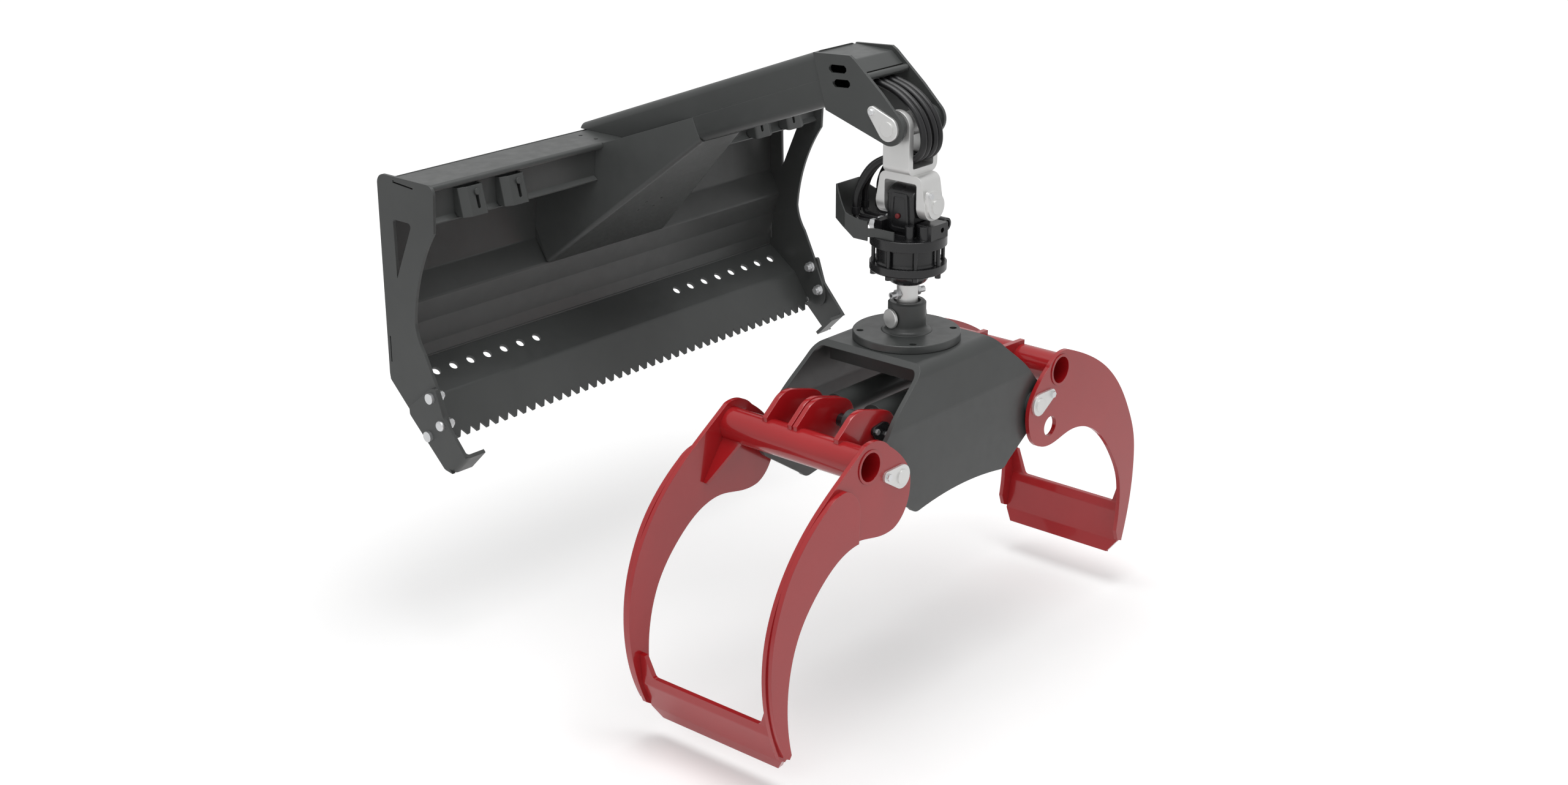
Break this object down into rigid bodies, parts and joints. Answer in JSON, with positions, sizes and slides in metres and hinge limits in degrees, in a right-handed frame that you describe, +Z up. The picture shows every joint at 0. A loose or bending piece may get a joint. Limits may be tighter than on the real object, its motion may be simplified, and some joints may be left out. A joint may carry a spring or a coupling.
{
  "type": "forestry grapple",
  "caption": "Forestry grapple with coupled jaws on a rotator, hung from a boom arm that stands on a toothed blade with a carrier hitch.",
  "frame": {"origin": "middle of the line through the tips of the blade's toothed lower edge", "axes": "+X along the blade towards its right end seen from the grapple side, +Y from the grapple towards the carrier, +Z up; the grapple hangs on the -Y side"},
  "size_m": [1.9281, 1.709, 1.88],
  "materials": {
    "black_paint": "semi-gloss",
    "red_paint": "gloss",
    "bright_steel": "machined",
    "zinc_plate": "zinc plated",
    "hose_rubber": "matt",
    "red_plastic": "gloss"
  },
  "bodies": {
    "blade_and_boom": {"arm_brace": "black_paint", "arm_lower_shell": "black_paint", "arm_upper_shell": "black_paint", "back_wall": "black_paint", "bracket_bolts": "zinc_plate", "head_cheek_left": "black_paint", "head_cheek_right": "black_paint", "head_cover": "black_paint", "head_cross_bar": "black_paint", "head_pin": "bright_steel", "head_pin_bolt": "zinc_plate", "hitch_brackets": "black_paint", "hook_bolts": "zinc_plate", "hook_nuts": "zinc_plate", "hook_plate_left": "black_paint", "hook_plate_right": "black_paint", "side_plate_left": "black_paint", "side_plate_right": "black_paint", "slotted_brackets": "black_paint", "toothed_mouldboard": "black_paint", "top_beam": "black_paint", "upper_hoses": "hose_rubber"},
    "swing_link": {"link_strap": "bright_steel", "link_sleeve": "bright_steel", "link_fork": "bright_steel", "fork_pin": "bright_steel", "fork_pin_bolt": "zinc_plate"},
    "rotator_housing": {"rotator_head": "black_paint", "grease_plug": "red_plastic", "rotator_body": "black_paint", "rotator_bolts": "black_paint", "hose_guard": "black_paint", "hose_fittings": "zinc_plate", "lower_hoses": "hose_rubber"},
    "turning_frame": {"rotator_shaft": "bright_steel", "shaft_fittings": "zinc_plate", "hub_collar": "black_paint", "collar_pin": "bright_steel", "mounting_disc": "black_paint", "grapple_frame": "black_paint"},
    "left_jaw": {"jaw_left_cross_plate": "red_paint", "jaw_left_doublers": "red_paint", "jaw_left_front_plate": "red_paint", "jaw_left_gusset": "red_paint", "jaw_left_lugs": "red_paint", "jaw_left_pin_bolts": "zinc_plate", "jaw_left_pivot_pins": "bright_steel", "jaw_left_rear_plate": "red_paint", "jaw_left_tube": "red_paint", "left_cylinder_pin": "black_paint"},
    "right_jaw": {"jaw_right_cross_plate": "red_paint", "jaw_right_front_plate": "red_paint", "jaw_right_lugs": "red_paint", "jaw_right_pin_bolts": "zinc_plate", "jaw_right_pivot_pins": "bright_steel", "jaw_right_rear_plate": "red_paint", "jaw_right_tube": "red_paint", "rod_pins": "bright_steel"},
    "barrels": {"cylinder_barrels": "black_paint"},
    "rods": {"cylinder_rods": "bright_steel"}
  },
  "joints": [
    {"name": "link_swing", "type": "hinge", "parent": "blade_and_boom", "child": "swing_link", "pos_m": [0, -1.125, 1.031], "axis": [1, 0, 0], "range_deg": [-35, 3], "deforming": ["upper_hoses"]},
    {"name": "head_tilt", "type": "hinge", "parent": "swing_link", "child": "rotator_housing", "pos_m": [0, -1.125, 0.795], "axis": [0, 1, 0], "range_deg": [-20, 20], "deforming": ["lower_hoses"]},
    {"name": "rotator_spin", "type": "hinge", "parent": "rotator_housing", "child": "turning_frame", "pos_m": [0, -1.125, 0.6], "axis": [0, 0, 1], "continuous": true},
    {"name": "jaw_left_swing", "type": "hinge", "parent": "turning_frame", "child": "left_jaw", "pos_m": [-0.37, -1.125, 0.104], "axis": [0, 1, 0], "range_deg": [-58, 7]},
    {"name": "jaw_right_swing", "type": "hinge", "parent": "turning_frame", "child": "right_jaw", "pos_m": [0.37, -1.125, 0.104], "axis": [0, 1, 0], "range_deg": [-7, 58]},
    {"name": "barrel_swing", "type": "hinge", "parent": "left_jaw", "child": "barrels", "pos_m": [-0.332, -1.125, 0.202], "axis": [0, 1, 0], "range_deg": [-7, 58]},
    {"name": "rod_swing", "type": "hinge", "parent": "right_jaw", "child": "rods", "pos_m": [0.332, -1.125, 0.202], "axis": [0, 1, 0], "range_deg": [-58, 7]}
  ],
  "couplings": [
    {"joint": "jaw_right_swing", "follows": "jaw_left_swing", "ratio": -1},
    {"joint": "barrel_swing", "follows": "jaw_left_swing", "ratio": -1},
    {"joint": "rod_swing", "follows": "jaw_left_swing", "ratio": 1}
  ]
}
